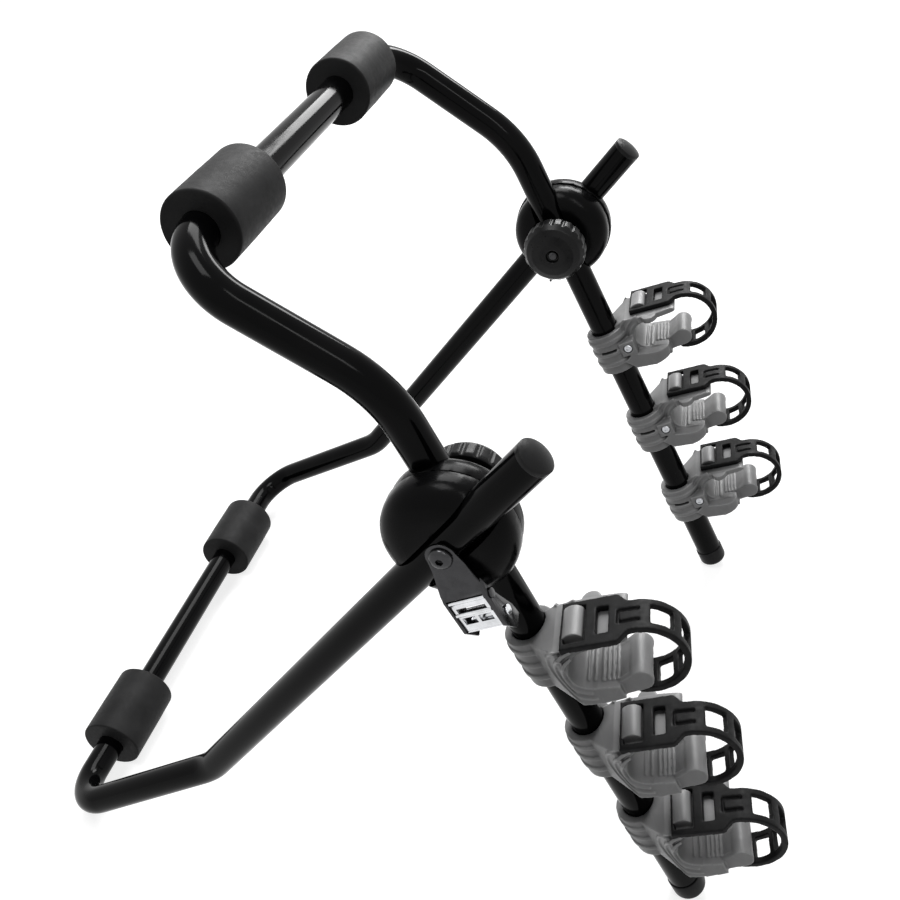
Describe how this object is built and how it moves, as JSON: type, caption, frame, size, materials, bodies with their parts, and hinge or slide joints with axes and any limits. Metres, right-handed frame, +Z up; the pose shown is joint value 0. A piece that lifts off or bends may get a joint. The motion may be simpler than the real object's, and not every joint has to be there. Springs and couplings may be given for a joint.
{
  "type": "boot-mounted bike carrier",
  "caption": "Folding bike carrier for a car boot: two bent tube frames on clamped toothed hubs, foam pads, strap buckles and grey cradles with ladder straps.",
  "frame": {"origin": "middle of the bounding box at the floor, with the carrier standing on its lower pads and arm ends", "axes": "+X towards the arms' tips and the bikes, -Y the left side, +Z up"},
  "size_m": [0.7064, 0.5412, 0.6474],
  "materials": {
    "frame": "satin black powder coat",
    "foam": "matt closed-cell foam",
    "cap": "moulded black",
    "hub": "moulded black",
    "knob": "moulded black",
    "steel": "zinc plated",
    "chrome": "bright plated",
    "cradle": "moulded grey",
    "strap": "moulded rubber"
  },
  "bodies": {
    "arms": {"main_frame": "frame", "left_upper_foam_pad": "foam", "left_arm_plug": "cap", "left_hub_inner_shell": "hub", "left_hub_spacer": "hub", "right_upper_foam_pad": "foam", "right_arm_plug": "cap", "right_hub_inner_shell": "hub", "right_hub_spacer": "hub"},
    "legs": {"lower_frame": "frame", "left_lower_foam_pad": "foam", "left_tail_cap": "cap", "left_hub_outer_shell": "hub", "left_pivot_bolt": "steel", "right_lower_foam_pad": "foam", "right_tail_cap": "cap", "right_hub_outer_shell": "hub", "right_pivot_bolt": "steel"},
    "left_knob": {"left_knob": "knob", "left_knob_nut": "steel"},
    "left_buckle": {"left_buckle_bracket": "chrome", "left_buckle_web_bar": "chrome", "left_buckle_cam_pin": "chrome"},
    "left_cam": {"left_buckle_cam_lever": "chrome"},
    "right_knob": {"right_knob": "knob", "right_knob_nut": "steel"},
    "right_buckle": {"right_buckle_bracket": "chrome", "right_buckle_web_bar": "chrome", "right_buckle_cam_pin": "chrome"},
    "right_cam": {"right_buckle_cam_lever": "chrome"},
    "left_cradle_1": {"left_cradle_1": "cradle", "left_cradle_screw_1": "steel"},
    "left_strap_1": {"left_strap_1": "strap"},
    "left_cradle_2": {"left_cradle_2": "cradle", "left_cradle_screw_2": "steel"},
    "left_strap_2": {"left_strap_2": "strap"},
    "left_cradle_3": {"left_cradle_3": "cradle", "left_cradle_screw_3": "steel"},
    "left_strap_3": {"left_strap_3": "strap"},
    "right_cradle_1": {"right_cradle_1": "cradle", "right_cradle_screw_1": "steel"},
    "right_strap_1": {"right_strap_1": "strap"},
    "right_cradle_2": {"right_cradle_2": "cradle", "right_cradle_screw_2": "steel"},
    "right_strap_2": {"right_strap_2": "strap"},
    "right_cradle_3": {"right_cradle_3": "cradle", "right_cradle_screw_3": "steel"},
    "right_strap_3": {"right_strap_3": "strap"}
  },
  "joints": [
    {"name": "frame_fold", "type": "hinge", "parent": "arms", "child": "legs", "pos_m": [0.10882, 0, 0.42893], "axis": [0, 1, 0], "range_deg": [-48, 72]},
    {"name": "left_knob_turn", "type": "hinge", "parent": "arms", "child": "left_knob", "pos_m": [0.10882, -0.1897, 0.42893], "axis": [0, 1, 0], "continuous": true},
    {"name": "left_buckle_swing", "type": "hinge", "parent": "legs", "child": "left_buckle", "pos_m": [0.10882, -0.2603, 0.42893], "axis": [0, 1, 0], "range_deg": [-80, 28]},
    {"name": "left_cam_lever_lift", "type": "hinge", "parent": "left_buckle", "child": "left_cam", "pos_m": [0.1336, -0.2578, 0.37539], "axis": [0.9076, 0, 0.4199], "range_deg": [0, 50], "stiffness_Nm_per_rad": 0.3},
    {"name": "right_knob_turn", "type": "hinge", "parent": "arms", "child": "right_knob", "pos_m": [0.10882, 0.1897, 0.42893], "axis": [0, 1, 0], "continuous": true},
    {"name": "right_buckle_swing", "type": "hinge", "parent": "legs", "child": "right_buckle", "pos_m": [0.10882, 0.2603, 0.42893], "axis": [0, 1, 0], "range_deg": [-106, 2]},
    {"name": "right_cam_lever_lift", "type": "hinge", "parent": "right_buckle", "child": "right_cam", "pos_m": [0.10556, 0.2578, 0.37002], "axis": [0.9985, 0, -0.0553], "range_deg": [-50, 0], "stiffness_Nm_per_rad": 0.3},
    {"name": "left_cradle_1_swivel", "type": "hinge", "parent": "arms", "child": "left_cradle_1", "pos_m": [0.16032, -0.2145, 0.30037], "axis": [0.3719, 0, -0.9283], "range_deg": [-20, 20]},
    {"name": "left_strap_1_open", "type": "hinge", "parent": "left_cradle_1", "child": "left_strap_1", "pos_m": [0.2351, -0.22736, 0.31201], "axis": [-0.097, 0.9945, -0.0389], "range_deg": [0, 80]},
    {"name": "left_cradle_2_swivel", "type": "hinge", "parent": "arms", "child": "left_cradle_2", "pos_m": [0.20123, -0.2145, 0.19825], "axis": [0.3719, 0, -0.9283], "range_deg": [-20, 20]},
    {"name": "left_strap_2_open", "type": "hinge", "parent": "left_cradle_2", "child": "left_strap_2", "pos_m": [0.27601, -0.22736, 0.2099], "axis": [-0.097, 0.9945, -0.0389], "range_deg": [0, 80]},
    {"name": "left_cradle_3_swivel", "type": "hinge", "parent": "arms", "child": "left_cradle_3", "pos_m": [0.24102, -0.2145, 0.09893], "axis": [0.3719, 0, -0.9283], "range_deg": [-20, 20]},
    {"name": "left_strap_3_open", "type": "hinge", "parent": "left_cradle_3", "child": "left_strap_3", "pos_m": [0.3158, -0.22736, 0.11057], "axis": [-0.097, 0.9945, -0.0389], "range_deg": [0, 80]},
    {"name": "right_cradle_1_swivel", "type": "hinge", "parent": "arms", "child": "right_cradle_1", "pos_m": [0.16032, 0.2145, 0.30037], "axis": [0.3719, 0, -0.9283], "range_deg": [-20, 20]},
    {"name": "right_strap_1_open", "type": "hinge", "parent": "right_cradle_1", "child": "right_strap_1", "pos_m": [0.23199, 0.23997, 0.31076], "axis": [-0.0648, 0.9976, -0.0259], "range_deg": [0, 80]},
    {"name": "right_cradle_2_swivel", "type": "hinge", "parent": "arms", "child": "right_cradle_2", "pos_m": [0.20123, 0.2145, 0.19825], "axis": [0.3719, 0, -0.9283], "range_deg": [-20, 20]},
    {"name": "right_strap_2_open", "type": "hinge", "parent": "right_cradle_2", "child": "right_strap_2", "pos_m": [0.27289, 0.23997, 0.20865], "axis": [-0.0648, 0.9976, -0.0259], "range_deg": [0, 80]},
    {"name": "right_cradle_3_swivel", "type": "hinge", "parent": "arms", "child": "right_cradle_3", "pos_m": [0.24102, 0.2145, 0.09893], "axis": [0.3719, 0, -0.9283], "range_deg": [-20, 20]},
    {"name": "right_strap_3_open", "type": "hinge", "parent": "right_cradle_3", "child": "right_strap_3", "pos_m": [0.31268, 0.23997, 0.10932], "axis": [-0.0648, 0.9976, -0.0259], "range_deg": [0, 80]}
  ]
}
